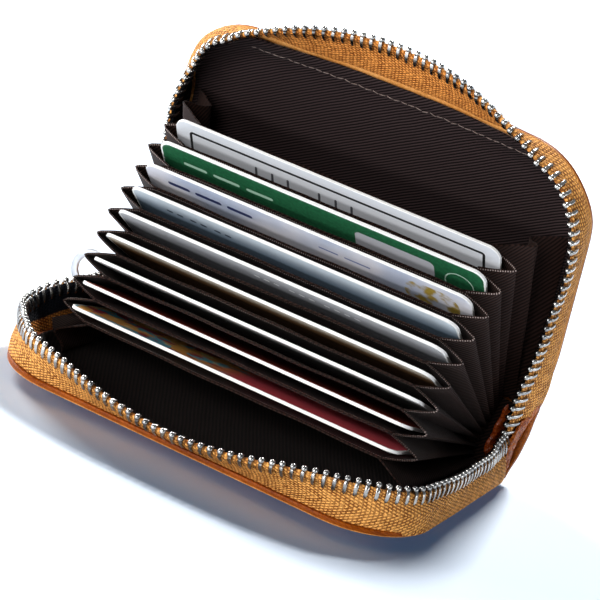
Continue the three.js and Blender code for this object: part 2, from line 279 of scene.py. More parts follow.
def add(name, points, faces, finishes, uv=None, face_finish=None, sharp=38):
    """A mesh object from points in millimetres, with an optional map in millimetres."""
    mesh = bpy.data.meshes.new(name)
    mesh.from_pydata((np.asarray(points, float) * MM).tolist(), [], [list(map(int, f)) for f in faces])
    for finish in finishes if isinstance(finishes, (list, tuple)) else [finishes]:
        mesh.materials.append(finish)
    if face_finish is not None:
        mesh.polygons.foreach_set("material_index", np.asarray(face_finish, np.int32))
    shape = bmesh.new()
    shape.from_mesh(mesh)
    bmesh.ops.recalc_face_normals(shape, faces=shape.faces)
    shape.to_mesh(mesh)
    shape.free()
    if uv is not None:
        corner = np.empty(len(mesh.loops), np.int32)
        mesh.loops.foreach_get("vertex_index", corner)
        layer = mesh.uv_layers.new(name="weave")
        layer.data.foreach_set("uv", np.asarray(uv, np.float32)[corner].ravel())
    return shown(name, mesh, sharp)


def settle(piece, body=None, nodes=()):
    """Puts a piece on a body and in place of the nodes that it shows again."""
    if body:
        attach(piece, body)
    if nodes:
        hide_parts(*nodes)


def tube_faces(start, rings, sides):
    """The faces between rings of points, and one over each end."""
    faces = []
    for ring in range(start, start + (rings - 1) * sides, sides):
        for m in range(sides):
            a, b = ring + m, ring + (m + 1) % sides
            faces.append((a, b, b + sides, a + sides))
    last = start + (rings - 1) * sides
    return faces + [tuple(range(start, start + sides)), tuple(range(last, last + sides))]


def slab_parts(upper, lower):
    """The points and faces of a closed slab between two grids of points."""
    rows, columns = upper.shape[:2]
    count = rows * columns
    number = np.arange(count).reshape(rows, columns)
    quads = [number[:-1, :-1], number[1:, :-1], number[1:, 1:], number[:-1, 1:]]
    quads = np.stack(quads, -1).reshape(-1, 4)
    edge = np.concatenate([number[:-1, 0], number[-1, :-1], number[:0:-1, -1], number[0, :0:-1]])
    after = np.roll(edge, -1)
    rim = np.stack([edge, after, after + count, edge + count], -1)
    faces = np.concatenate([quads, quads[:, ::-1] + count, rim])
    return np.concatenate([upper.reshape(-1, 3), lower.reshape(-1, 3)]), faces


def lengths(grid):
    """A map of a grid in millimetres, measured along its columns and rows from its first corner."""
    u = np.linalg.norm(np.diff(grid, axis=1, prepend=grid[:, :1]), axis=2).cumsum(axis=1)
    v = np.linalg.norm(np.diff(grid, axis=0, prepend=grid[:1]), axis=2).cumsum(axis=0)
    return np.stack([u, v], -1)


def sheet(name, grid, thickness, finish, uv=None, sharp=38, inside=None):
    """A closed sheet of cloth or leather about a grid. inside is the face that has a second finish."""
    half = np.broadcast_to(np.asarray(thickness, float) / 2, grid.shape[:2])[..., None]
    normal = np.cross(np.gradient(grid, axis=0), np.gradient(grid, axis=1))
    normal = normal / np.linalg.norm(normal, axis=2, keepdims=True)
    points, faces = slab_parts(grid + normal * half, grid - normal * half)
    flat = (lengths(grid) if uv is None else uv).reshape(-1, 2)
    quads = (grid.shape[0] - 1) * (grid.shape[1] - 1)
    marks = None if inside is None else np.arange(len(faces)) // quads == inside
    return add(name, points, faces, finish, np.concatenate([flat, flat]), marks, sharp)


def plate(name, outline, place, low, high, bevel):
    """A metal plate between two heights, its edges rounded. place turns (a, b, height) into a point."""
    shape = bmesh.new()
    face = shape.faces.new([shape.verts.new(Vector(metres(place(a, b, low)))) for a, b in outline])
    lifted = bmesh.ops.extrude_face_region(shape, geom=[face])["geom"]
    lifted = [part for part in lifted if isinstance(part, bmesh.types.BMVert)]
    bmesh.ops.translate(shape, vec=Vector(metres(place(0, 0, high) - place(0, 0, low))), verts=lifted)
    bmesh.ops.recalc_face_normals(shape, faces=shape.faces)
    rims = [e for e in shape.edges if e.calc_face_angle(0) > 0.5]
    bmesh.ops.bevel(shape, geom=rims, offset=bevel * MM, segments=2, profile=0.5, affect="EDGES")
    mesh = bpy.data.meshes.new(name)
    shape.to_mesh(mesh)
    shape.free()
    mesh.materials.append(METAL)
    return shown(name, mesh, 38)


def join(name, pieces):
    """Joins pieces into the first one."""
    bpy.ops.object.select_all(action="DESELECT")
    for piece in pieces:
        piece.select_set(True)
    bpy.context.view_layer.objects.active = pieces[0]
    bpy.ops.object.join()
    pieces[0].name = name
    pieces[0].data.name = name
    return pieces[0]


# Materials


def colour(code):
    """A hex colour as the linear values that a shader takes."""
    parts = [int(code[k:k + 2], 16) / 255 for k in (1, 3, 5)]
    return tuple(c / 12.92 if c <= 0.04045 else ((c + 0.055) / 1.055) ** 2.4 for c in parts) + (1.0,)


def taking(operation):
    """A way to work on a value and what follows it, as a new node."""
    return lambda value, *others: value.graph.math(operation, value, *others)


class Value:
    """A value in a node graph, which takes arithmetic."""

    def __init__(self, graph, socket):
        self.graph = graph
        self.socket = socket

    __add__ = taking("ADD")
    __sub__ = taking("SUBTRACT")
    __mul__ = taking("MULTIPLY")
    __truediv__ = taking("DIVIDE")
    __lt__ = taking("LESS_THAN")
    __abs__ = taking("ABSOLUTE")


class Graph:
    """The node graph of a material or a world, under construction."""

    def __init__(self, owner, shader="Principled BSDF", **constants):
        owner.use_nodes = True
        self.owner = owner
        self.tree = owner.node_tree
        self.shader = self.tree.nodes[shader]
        self.give(self.shader, {key.replace("_", " "): value for key, value in constants.items()})

    def give(self, node, values):
        for key, value in values.items():
            if isinstance(value, Value):
                self.tree.links.new(value.socket, node.inputs[key])
            else:
                node.inputs[key].default_value = colour(value) if isinstance(value, str) else value

    def node(self, kind, inputs=None, output=0, **settings):
        node = self.tree.nodes.new("ShaderNode" + kind)
        for key, value in settings.items():
            setattr(node, key, value)
        self.give(node, inputs or {})
        return Value(self, node.outputs[output])

    def math(self, operation, *values):
        return self.node("Math", dict(enumerate(values)), operation=operation)

    def mix(self, factor, a, b):
        return self.node("Mix", {0: factor, 6: a, 7: b}, output=2, data_type="RGBA")

    def tint(self, tone, low, high, dark, light):
        return self.mix(self.ramp(tone, low, high), dark, light)

    def map(self):
        """The piece's own map, in millimetres."""
        return self.node("UVMap", uv_map="weave")

    def split(self, vector):
        node = self.node("SeparateXYZ", {0: vector}).socket.node
        return Value(self, node.outputs[0]), Value(self, node.outputs[1])

    def noise(self, vector, scale, detail=2.0, roughness=0.5):
        inputs = {"Vector": vector, "Scale": scale, "Detail": detail, "Roughness": roughness}
        return self.node("TexNoise", inputs)

    def ramp(self, value, low, high):
        return self.node("MapRange", {0: value, 1: low, 2: high}, interpolation_type="SMOOTHSTEP")

    def wave(self, position, pitch):
        """Ribs of a pitch in millimetres, from 0 to 1."""
        return self.math("SINE", position * (2 * pi / pitch)) * 0.5 + 0.5

    def finish(self, base, roughness=None, height=None, strength=0.5, distance=0.1):
        values = {"Base Color": base}
        if roughness is not None:
            values["Roughness"] = roughness
        if height is not None:
            inputs = {"Height": height, "Strength": strength, "Distance": distance * MM}
            values["Normal"] = self.node("Bump", inputs)
        self.give(self.shader, values)
        return self.owner


def material(name, **constants):
    return Graph(bpy.data.materials.new(name), **constants)


def leather_finish(name, dark, light, roughness, pebble, depth, gloss):
    """Grained leather: pebbles between fine creases, with a slow drift of colour."""
    g = material(name, Specular_IOR_Level=gloss)
    at = g.map()
    cells = g.node("TexVoronoi", {"Vector": at, "Scale": 1 / pebble}, feature="DISTANCE_TO_EDGE")
    crease = g.ramp(cells, 0.0, 0.16)
    pore = g.noise(at, 2.6, 3.0)
    base = g.tint(g.noise(at, 0.09, 3.0) * 0.7 + crease * 0.2, 0.2, 0.85, dark, light)
    return g.finish(base, pore * 0.2 + (roughness - 0.1), pore * 0.3 + crease, depth, 0.12)


def twill_finish(name, dark, light, pitch, angle, depth, crisp, hem=None):
    """Ribbed nylon twill: slanting ribs crossed by fine yarns, and a dotted seam at a hem's height."""
    g = material(name, Specular_IOR_Level=0.06, Sheen_Weight=0.02, Sheen_Roughness=0.5)
    at = g.map()
    u, v = g.split(at)
    slant = radians(angle)
    across = v * cos(slant) - u * sin(slant)
    along = u * cos(slant) + v * sin(slant)
    wander = g.noise(at, 0.1) * (pitch * 0.6)
    rib = g.ramp(g.wave(across + wander, pitch), 0.5 - crisp, 0.5 + crisp)
    yarn = g.wave(across * 0.35 + along, 0.36)
    speck = g.noise(at, 1.7, 4.0, 0.7)
    base = g.tint(rib * 0.7 + yarn * 0.1 + speck * 0.24, 0.1, 0.95, dark, light)
    if hem:
        dots = (abs(v - hem) < 0.22) * g.ramp(g.wave(u, 0.55), 0.4, 0.8)
        base = g.mix(dots, base, "#a08f89")
    return g.finish(base, speck * 0.2 + 0.55, yarn * 0.2 + rib, depth, 0.16)


def tape_finish(name, dark, light, painted_shade_strip=None):
    """Zip tape: slanting rows of short grains that turn at the middle of the tape, as in a herringbone.

    If given, the last argument paints a dark strip above a height along the case's sides, from a place on the
    left of the long edge: painted shade on the tape's inner side near the teeth.
    """
    g = material(name, Specular_IOR_Level=0.1)
    at = g.map()
    u, v = g.split(at)
    fold = abs(v - TURN_HEIGHT) + g.noise(at, 0.5) * 0.3
    lane = (u * sin(GRAIN_SLANT) + fold * cos(GRAIN_SLANT)) / GRAIN_WIDTH
    row = g.math("FLOOR", lane)
    step = (u * cos(GRAIN_SLANT) - fold * sin(GRAIN_SLANT)) / GRAIN_LENGTH + row * 0.37
    joint = g.ramp(g.math("PINGPONG", step, 0.5), 0.0, 0.35) * 0.9 + 0.1
    rise = g.ramp(g.math("PINGPONG", lane, 0.5), 0.0, 0.4) * joint
    cell = g.node("CombineXYZ", {0: g.math("FLOOR", step), 1: row})
    odd = g.node("TexWhiteNoise", {"Vector": cell}, noise_dimensions="2D")
    fibre = g.noise(at, 3.0, 3.0, 0.7)
    base = g.tint(odd * 0.34 + fibre * 0.3 + rise * 0.6, 0.1, 0.95, dark, light)
    # painted shade: a dark strip over the tape's inner side near the teeth, where it lies in shade
    if painted_shade_strip:
        above, left = painted_shade_strip
        beside = g.math("MAXIMUM", g.ramp(u, -left, -left - 6.0), g.ramp(u, 50.0, 58.0))
        base = g.mix(g.ramp(v, above, above + 0.5) * beside, base, "#12141b")
    return g.finish(base, fibre * 0.2 + 0.55, fibre * 0.15 + rise, 1.0, 0.3)


def metal_finish(name, dark, light, roughness):
    """Bright nickel plate with faint polishing marks."""
    g = material(name, Metallic=1.0)
    at = g.node("TexCoord", output="Object")
    mark = g.noise(at, 900.0, 4.0, 0.6)
    base = g.tint(g.noise(at, 160.0), 0.3, 0.7, dark, light)
    return g.finish(base, mark * 0.12 + roughness, mark, 0.05, 0.02)


def fibre_finish(name, dark, light, scale, detail, roughness=None, bump=None, **constants):
    """Fine fibres of two tones, as in thread and board."""
    g = material(name, **constants)
    fibre = g.noise(g.node("TexCoord", output="Object"), scale, detail)
    return g.finish(g.mix(fibre, dark, light), roughness, fibre if bump else None, bump, 0.05)


TAN = leather_finish("tan_leather", "#7c3c05", "#b4640f", 0.38, 0.9, 0.35, 0.25)
RIM_PAINT = leather_finish("leather_rim", "#642701", "#a5540a", 0.4, 0.9, 0.25, 0.1)
# The pale finish is a painted highlight along the leather's rounded lower edge, and the pale edge inside the
# rear cover.
PALE_EDGE_AND_HIGHLIGHT = leather_finish("leather_rim_line", "#c07a34", "#e8ab66", 0.4, 0.9, 0.2, 0.2)
END_LEATHER = leather_finish("end_leather", "#7a2a03", "#dc7a22", 0.24, 1.0, 1.0, 0.35)
TAB_LEATHER = leather_finish("tab_leather", "#7f2a06", "#cf6020", 0.24, 1.0, 0.8, 0.35)
TAPE = tape_finish("zip_tape", "#6e3208", "#fdb662")
# The inside tapes carry a painted shade strip near the teeth along the case's sides.
FRONT_TAPE_INSIDE = tape_finish("front_tape_inside", "#6e3006", "#f5a04e", (4.2, 44.0))
REAR_TAPE_INSIDE = tape_finish("rear_tape_inside", "#6e3006", "#f5a04e", (-3.0, 36.0))
FRONT_TWILL = twill_finish("front_lining_twill", "#0a0706", "#1f1614", 0.87, 62, 0.4, 0.5)
REAR_TWILL = twill_finish("rear_lining_twill", "#060303", "#332727", 0.67, 29.4, 0.6, 0.3)
POCKET_TWILL = twill_finish("pocket_twill", "#120a08", "#31201b", 0.8, 40, 0.35, 0.5, DIVIDER_HEIGHT - 0.7)
METAL = metal_finish("nickel", "#8c8b8a", "#c8c5c0", 0.18)
RING_METAL = metal_finish("ring_nickel", "#8f9298", "#b4b7bd", 0.34)
THREAD = fibre_finish("thread", "#3c2e2a", "#8c786e", 2200.0, 2.0, bump=0.4, Sheen_Weight=0.2)
BOARD = fibre_finish("fibre_board", "#7b7062", "#9a8f7f", 600.0, 4.0, 0.9, Specular_IOR_Level=0.2)


# Leather: one hide wraps the front cover, the spine and the rear cover, split at the middle of the spine


def leather_rows():
    """Rows of the hide from the front edge to the rear edge.

    A row has its foot on the lining side, the way out of it, its distance from the long edge and its cover's
    curl, which fades away across the spine.
    """
    corner = COVER_CORNER * (1 - np.cos(np.radians(np.linspace(0, 90, 15))))
    flat = np.concatenate([corner, np.linspace(COVER_CORNER, COVER_DEPTH, 20)[1:]])
    down, level = 270.0, 270.0 + STRIP_ANGLE
    back = level + 90 - REAR_OPENING
    rows = [(FRONT.at(0.0, COVER_DEPTH - edge, 0.0), down, edge, FRONT, 1.0) for edge in flat]
    rows += [(FRONT_HINGE, angle, COVER_DEPTH, FRONT, 1.0) for angle in np.linspace(down, level, 9)[1:-1]]
    for across in np.linspace(0, SPINE, 17):
        fade = smooth(0.2, 1.0, abs(2 * across / SPINE - 1))
        rows.append((on_spine(0.0, across, 0.0), level, COVER_DEPTH, FRONT, fade))
    rows += [(REAR_HINGE, angle, COVER_DEPTH, REAR, 1.0) for angle in np.linspace(level, back, 9)[1:-1]]
    return rows + [(REAR.at(0.0, COVER_DEPTH - edge, 0.0), back, edge, REAR, 1.0) for edge in flat[::-1]]


def leather_grids(rows):
    """The hide's outer and inner surfaces over some rows, its map and the distance in from its outline."""
    edges = np.array([0, 0.04, 0.12, 0.34, 0.75, 1.3, 2.0, 2.8, 3.7, 4.7, 5.8, 7.0, 8.2, 9.5])
    outer, inner, flat, inset = [], [], [], []
    length = 0.0
    last = rows[0][0] + turned(rows[0][1]) * PANEL
    for base, angle, edge, cover, fade in rows:
        out = turned(angle)
        width = COVER_LENGTH / 2 - SPINE_DRAW * smooth(COVER_DEPTH - 16, COVER_DEPTH - 2, edge)
        half = half_width(edge, width, COVER_CORNER)
        middle = np.linspace(-half + edges[-1], half - edges[-1], 26)
        x = np.concatenate([-half + edges[:-1], middle, half - edges[-2::-1]])
        near = inside_outline(x, edge, width, COVER_CORNER)
        beyond = np.maximum(LEATHER_EDGE - near, 0)
        rounding = LEATHER_EDGE - np.sqrt(np.maximum(LEATHER_EDGE**2 - beyond**2, 0))
        lift = fade * cover.curled(near, COVER_DEPTH - edge, x)
        foot = base + x[:, None] * X
        outer.append(foot + (PANEL - rounding - lift)[:, None] * out)
        inner.append(foot + (PANEL - LEATHER + rounding - lift)[:, None] * out)
        length += float(np.linalg.norm(base + out * PANEL - last))
        last = base + out * PANEL
        flat.append(np.stack([x, np.full_like(x, length)], -1))
        inset.append(near if edge < COVER_DEPTH - SPINE_CLEAR else np.full_like(near, INNER_PAINT))
    return np.array(outer), np.array(inner), np.array(flat), np.array(inset)


def add_leather():
    rows = leather_rows()
    split = next(k for k, row in enumerate(rows) if np.allclose(row[0], on_spine(0.0, SPINE / 2, 0.0)))
    for name, part, inside, nodes in (
        ("front_shell", rows[:split + 1], 1, ["front_leather"]),
        ("rear_shell", rows[split:], 2, ["rear_leather", "spine_leather"]),
    ):
        outer, inner, flat, inset = leather_grids(part)
        points, faces = slab_parts(outer, inner)
        flat = flat.reshape(-1, 2)
        middle = ((inset[:-1, :-1] + inset[1:, 1:]) / 2).ravel()
        # Outside, a thin band along the outline takes the pale finish as a painted highlight on the rounded
        # lower edge; inside, the front cover takes the edge paint near its edge and the rear cover the pale
        # edge.
        finish = np.concatenate([2 * (middle < PAINTED_HIGHLIGHT_WIDTH), inside * (middle < INNER_PAINT)])
        finish = np.concatenate([finish, np.ones(len(faces) - len(finish), int)])
        flat = np.concatenate([flat, flat + LEATHER])
        shell = add(name, points, faces, [TAN, RIM_PAINT, PALE_EDGE_AND_HIGHLIGHT], flat, finish)
        settle(shell, nodes=nodes)
        if name == "front_shell":
            start, end = FRONT.at(0.0, HINGE_REACH, -PANEL), on_spine(0.0, HINGE_REACH, -PANEL)
            metres(start)
            metres(end)
            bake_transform(shell)
        else:
            start, end = on_spine(0.0, SPINE - HINGE_REACH, -PANEL), REAR.at(0.0, HINGE_REACH, -PANEL)
            metres(start)
            metres(end)
            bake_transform(shell)


add_leather()


# The spine's ends: caps of hide folded up to where the zip's rows meet, and rolled tabs inside them


def add_cap(word, side):
    """The hide's end, folded up over the spine's edge and drawn in to a blunt tip."""
    ends = [(-1.5, 1.3), (-1.0, 0.5), (-0.5, -0.1)]
    across = np.linspace(0, SPINE, 18)
    height = CAP_FOOT + HINGE_CURL * smooth(0.2, 1.0, np.abs(2 * across / SPINE - 1))
    foot = np.array(ends + list(zip(across, height)) + [(SPINE - s, h) for s, h in ends[::-1]])
    tip = SPINE / 2 + np.linspace(-1, 1, len(foot)) * CAP_TIP
    tip = np.stack([tip, np.full(len(foot), CAP_TOP)], -1)
    share = np.concatenate([[0.0, 0.015, 0.04, 0.08], np.linspace(0.14, 0.94, 15), [0.98, 1.0]])[:, None]
    line = foot + (tip - foot) * share[..., None]
    across, height = line[..., 0], line[..., 1]
    wrinkle = 0.12 * np.sin(1.7 * across + 2.3 * height) * np.sin(1.1 * height - 0.9 * across)
    fold = 0.8 * (1 - np.minimum(share / 0.08, 1)) ** 2
    hollow = CAP_HOLLOW * (1 - np.minimum(np.abs(2 * foot[:, 0] / SPINE - 1), 1) ** 2)
    drawn = np.maximum(hollow * (1 - 0.5 * share), CAP_DRAW * share)
    x = SPINE_END - CAP_THICKNESS / 2 - fold - drawn + wrinkle
    cap = sheet("end_cap_" + word, on_spine(side * x, across, height), CAP_THICKNESS, END_LEATHER)
    settle(cap, "spine")


def add_tab(word, side):
    """A low roll of dark leather across the spine, inside the zip's end."""
    heights = TAB_TALL * np.array([0.0, 0.2, 0.44, 0.68, 0.84, 0.94, 1.0])[:, None]
    across = np.linspace(-1, 1, 29)
    wrinkle = 0.14 * np.sin(9 * across + 1.4 * heights)
    grid = on_spine(side * (TAB_PLACE + wrinkle), SPINE / 2 + TAB_HALF * across, SEAT + heights)
    thick = np.sqrt(1 - (heights / TAB_TALL / 1.05) ** 3) * np.sqrt(1.02 - np.abs(across) ** 12)
    tab = sheet("end_roll_" + word, grid, TAB_THICKNESS * thick, TAB_LEATHER)
    settle(tab, "spine", ["end_tab_" + word])


for end_word, end_side in SIDES:
    add_cap(end_word, end_side)
    add_tab(end_word, end_side)


# Boards and linings


def panel_grid(cover, inset):
    """Places over a cover's panel inside an inset: x, depth, the distance in from its edge and the curl."""
    half, far, radius = COVER_LENGTH / 2 - inset, COVER_DEPTH - inset, COVER_CORNER - inset
    corner = radius * (1 - np.cos(np.radians(np.linspace(0, 90, 13))))
    edge = np.concatenate([corner, np.linspace(radius, far - 0.4, 30)[1:]])[:, None]
    x = half_width(edge, half, radius) * np.sin(np.linspace(-pi / 2, pi / 2, 61))
    near = inside_outline(x, edge, half, radius)
    return x, far - edge, near, cover.curled(near + inset, far - edge, x)


def add_board(cover):
    """A cover's stiffening board, hidden between the leather and the lining."""
    x, depth, _, lift = panel_grid(cover, BOARD_INSET)
    grid = cover.at(x, depth, lift + BOARD_MIDDLE)
    board = sheet(cover.name + "_board_sheet", grid, BOARD_THICKNESS, BOARD)
    settle(board, cover.body, [cover.name + "_board"])


def add_lining(cover, finish):
    """A cover's lining, with slight puckers along its sewn edge."""
    x, depth, near, lift = panel_grid(cover, LINING_INSET)
    pucker = 0.1 * np.sin(0.9 * x + 0.7 * depth) * np.exp(-near / 5)
    sag = 0.15 * np.sin(0.11 * x + 1.0) * np.sin(0.13 * depth) * smooth(2, 12, near)
    height = lift - 0.25 + pucker + sag - 0.35 * (1 - smooth(0.0, 0.8, near))
    flat = np.stack(np.broadcast_arrays(x, depth), -1)
    piece = sheet(cover.name + "_lining_cloth", cover.at(x, depth, height), 0.45, finish, flat)
    settle(piece, cover.body, [cover.name + "_lining"])


def add_stitches(cover, hem):
    """The stitches of a lining's hem: short rounded strands that dip at both ends and zigzag a little."""
    depth = COVER_DEPTH - LINING_INSET - hem
    places = []
    for along in np.arange(-41.0, 41.0, STITCH):
        rise = 0.08 + float(cover.curled(LINING_INSET + hem, depth, along))
        places.append(cover.at(along, depth + rng.normal(0, 0.06), rise))
    points, faces = [], []
    sides, rings = 6, 7
    out = cover.inward
    for number, place in enumerate(places):
        lean = 0.14 * (-1) ** number + rng.normal(0, 0.07)
        way = X * cos(lean) + np.cross(out, X) * sin(lean)
        side = np.cross(out, way)
        faces += tube_faces(len(points), rings, sides)
        for t in np.linspace(-1, 1, rings):
            size = STITCH_RADIUS * sqrt(max(1 - t**4, 0.02))
            middle = place + way * (t * STITCH / 2) - out * (STITCH_RADIUS * 1.3 * t * t)
            for angle in np.arange(sides) * 2 * pi / sides:
                points.append(middle + size * (cos(angle) * side + sin(angle) * out))
    settle(add(cover.name + "_hem_stitches", points, faces, THREAD), cover.body)


for case_cover, cover_twill in ((FRONT, FRONT_TWILL), (REAR, REAR_TWILL)):
    add_board(case_cover)
    add_lining(case_cover, cover_twill)
add_stitches(REAR, REAR_HEM)


def add_spine_lining():
    """The spine's board and the lining laid on it."""
    grid = on_spine(np.linspace(-46.0, 46.0, 13), np.linspace(1.0, SPINE - 1.0, 5)[:, None], BOARD_MIDDLE)
    board = sheet("spine_board_sheet", grid, BOARD_THICKNESS, BOARD)
    settle(board, "spine", ["spine_board"])
    across = np.linspace(0.35, SPINE - 0.35, 9)[:, None]
    height = -0.2 - 0.1 * np.cos(np.linspace(-1, 1, 9) * pi)[:, None]
    grid = on_spine(np.linspace(-51.0, 51.0, 41), across, height)
    piece = sheet("spine_lining_cloth", grid, 0.4, POCKET_TWILL)
    settle(piece, "spine", ["spine_lining"])


add_spine_lining()


# Zip tapes and teeth


class Row:
    """Places and directions along a cover's zip, by the distance along it from the long edge's middle."""

    def __init__(self, cover, station):
        right = station > 0
        side = np.where(right, 1.0, -1.0)
        distance = np.abs(station)
        turn = np.clip((distance - ZIP_STRAIGHT) / ZIP_RADIUS, 0, pi / 2)
        down = np.maximum(distance - ZIP_STRAIGHT - ZIP_ARC, 0)
        self.depth = ZIP_SIDE + ZIP_RADIUS * np.cos(turn) - down
        self.x = side * (np.minimum(distance, ZIP_STRAIGHT) + ZIP_RADIUS * np.sin(turn))
        self.inward = cover.inward
        self.out = (side * np.sin(turn))[:, None] * X + np.cos(turn)[:, None] * cover.run
        reach = np.where(right, cover.reach[1], cover.reach[0])
        self.flare = np.cos(pi / 2 * np.minimum(distance / reach, 1))
        bump = (self.depth - np.where(right, cover.right_depth, cover.left_depth)) / SIDE_LEAN_REACH
        side_lean = np.radians(np.where(right, cover.right_lean, cover.left_lean)) * np.sin(turn)
        side_lean = side_lean * np.cos(np.clip(bump, -1, 1) * pi / 2) ** 2
        self.lean = cover.lean * self.flare + side_lean
        end = smooth(np.where(right, cover.end_run, LEFT_END_RUN), cover.end_depth, self.depth)
        rise = np.where(right, cover.end_rise * end, cover.left_rise * smooth(50.0, 25.0, self.depth))
        self.root = ROOT_HEIGHT + CLOSED_SLOPE * self.depth + cover.flare * self.flare + rise
        self.draw = side * np.where(right, cover.end_draw, LEFT_END_DRAW) * end / self.root
        self.foot = cover.at(self.x, self.depth, 0.0)
        lean = self.lean[:, None]
        self.up = np.cos(lean) * self.inward + np.sin(lean) * self.out - self.draw[:, None] * X
        self.across = np.cos(lean) * self.out - np.sin(lean) * self.inward
        self.along = np.cross(self.up, self.across)

    def cord(self):
        """The places of the corded edge that carries the teeth."""
        return self.foot + self.root[:, None] * self.up

    def cord_run(self):
        """The length along the corded edge from the row's first place."""
        steps = np.linalg.norm(np.diff(self.cord(), axis=0), axis=1)
        return np.concatenate([[0.0], steps.cumsum()])

    def wall(self, share, low, high):
        """Places a share of the way up the tape's wall, which rises off the leather before it leans out."""
        rise = low + (high * np.cos(self.lean) - low) * share**0.9
        reach = high * np.sin(self.lean) * share**1.35
        drawn = (share * high * self.draw)[:, None] * X
        return self.foot + rise[:, None] * self.inward + reach[:, None] * self.out - drawn


def bend_to_spine(piece, cover):
    """Bakes a zip piece's placement into its mesh; the places where its cover meets the spine are found but
    not used.
    """
    start = cover.at(0.0, HINGE_REACH, -PANEL)
    end = on_spine(0.0, HINGE_REACH if cover is FRONT else SPINE - HINGE_REACH, -PANEL)
    metres(start)
    metres(end)
    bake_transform(piece)


def add_tape(cover, inside):
    """The tape: a woven wall that stands on the leather's edge and ends in a thick corded edge."""
    end = ZIP_RUN - cover.end_depth
    station = np.linspace(-end, end, 901)
    run = Row(cover, station).cord_run()
    levels = [(share, 0) for share in (0, 0.08, 0.16, 0.25, 0.37, 0.5, 0.62, 0.75, 0.88, 1)]
    levels += [(1, cord) for cord in (0.25, 0.55, 0.85, 1)]
    columns, thick, flat = [], [], []
    for share, cord in levels:
        cut = cover.cloth_end + (cover.end_depth - cover.cloth_end) * smooth(0.8, 1.0, share)
        place = np.linspace(cover.cloth_end - ZIP_RUN, ZIP_RUN - cut, len(station))
        teeth = (run[-1] - TOOTH_START - np.interp(place, station, run)) / TOOTH_PITCH
        pinch = 0.5 + 0.5 * np.cos(2 * pi * teeth)
        row = Row(cover, place)
        beside = smooth(*cover.slip_run, np.abs(place))
        clear = smooth(-2.0, 7.0, row.depth)
        sunk = cover.curl - TAPE_SINK - 0.4 * beside + cover.corner(row.x, row.depth)
        sunk = np.where(row.depth > 1.5, sunk, np.maximum(sunk, -row.depth * cover.slope - 0.4))
        slip = clear * (TAPE_SLIP + (cover.slip - TAPE_SLIP) * beside) * (1 - share) ** 1.5
        swell = TAPE_BULGE * (0.3 + 0.7 * clear) * (1 - 0.6 * row.flare)
        bow = slip + swell * sin(pi * share) * (1 - 0.4 * share)
        top = row.root - CORD_DROP
        wall = row.wall(share, sunk, top) + CORD_HEIGHT * cord * row.up
        columns.append(wall + bow[:, None] * row.across)
        round_edge = sqrt(max(1 - (2 * cord - 1) ** 2, 0.0))
        bulge = TAPE_HALF * (1 - 0.75 * max(2 * cord - 1, 0)) + (0.45 - 0.25 * pinch) * round_edge
        thick.append(2 * bulge if cord else np.full_like(place, 2 * TAPE_HALF))
        flat.append(np.stack([place, sunk + (top - sunk) * share + CORD_HEIGHT * cord], -1))
    grid, flat = np.stack(columns, axis=1), np.stack(flat, axis=1)
    tape = sheet(cover.name + "_tape_cloth", grid, np.stack(thick, axis=1), [TAPE, inside], flat,
                 sharp=60, inside=int(cover is FRONT))
    settle(tape, nodes=[cover.name + "_tape"])
    bend_to_spine(tape, cover)
    return station, run


def tooth_template():
    """A zip tooth by its own axes (along, up, across): a clip bent over the tape's edge and a round head."""
    leg = [(0.66, -2.05), (0.8, -1.75), (0.88, -1.2), (0.9, -0.5), (0.86, 0.15), (0.72, 0.7), (0.42, 1.1)]
    path = np.array(leg + [(0.0, 1.25)] + [(-a, u) for a, u in leg[::-1]])
    way = np.gradient(path, axis=0)
    way /= np.linalg.norm(way, axis=1, keepdims=True)
    sides, belts, around = 8, 6, 12
    points = []
    for k, ((across, up), (da, du)) in enumerate(zip(path, way)):
        wide, deep = ((0.12, 0.08), (0.31, 0.2), (0.42, 0.26))[min(k, len(path) - 1 - k, 2)]
        for angle in 2 * pi * (np.arange(sides) + 0.5) / sides:
            w = wide * squared(cos(angle), 0.6)
            d = deep * squared(sin(angle), 0.6)
            points.append((w, up - d * da, across + d * du))
    faces = tube_faces(0, len(path), sides) + tube_faces(len(points), belts, around)
    for tilt in pi * (np.arange(belts) + 0.5) / belts - pi / 2:
        for angle in 2 * pi * np.arange(around) / around:
            c, s = cos(tilt) * cos(angle), cos(tilt) * sin(angle)
            points.append((0.74 * c, 1.5 + 0.72 * sin(tilt), 0.8 * s))
    return np.array(points), faces


def add_teeth(cover, tape_station, run):
    """The row of teeth, evenly along the cord from the bottom stop on the right to the slider's place."""
    left = -(ZIP_RUN - SLIDER_START - SLIDER_LENGTH - 2.2)
    station = np.interp(np.arange(run[-1] - TOOTH_START, 0, -TOOTH_PITCH), run, tape_station)
    station = station[station > left]
    row = Row(cover, station)
    template, faces = tooth_template()
    points, every = [], []
    for k, root in enumerate(row.cord()):
        axes = np.stack([row.along[k], row.up[k], row.across[k]])
        local = template + np.cross(rng.normal(0, 0.035, 3), template)
        points.append(root + local @ axes)
        every += [tuple(i + k * len(template) for i in face) for face in faces]
    teeth = add(cover.name + "_teeth", np.concatenate(points), every, METAL, sharp=50)
    settle(teeth, nodes=[cover.name + "_chain"])
    bend_to_spine(teeth, cover)


for case_cover, tape_inside in ((FRONT, FRONT_TAPE_INSIDE), (REAR, REAR_TAPE_INSIDE)):
    add_teeth(case_cover, *add_tape(case_cover, tape_inside))


# Accordion


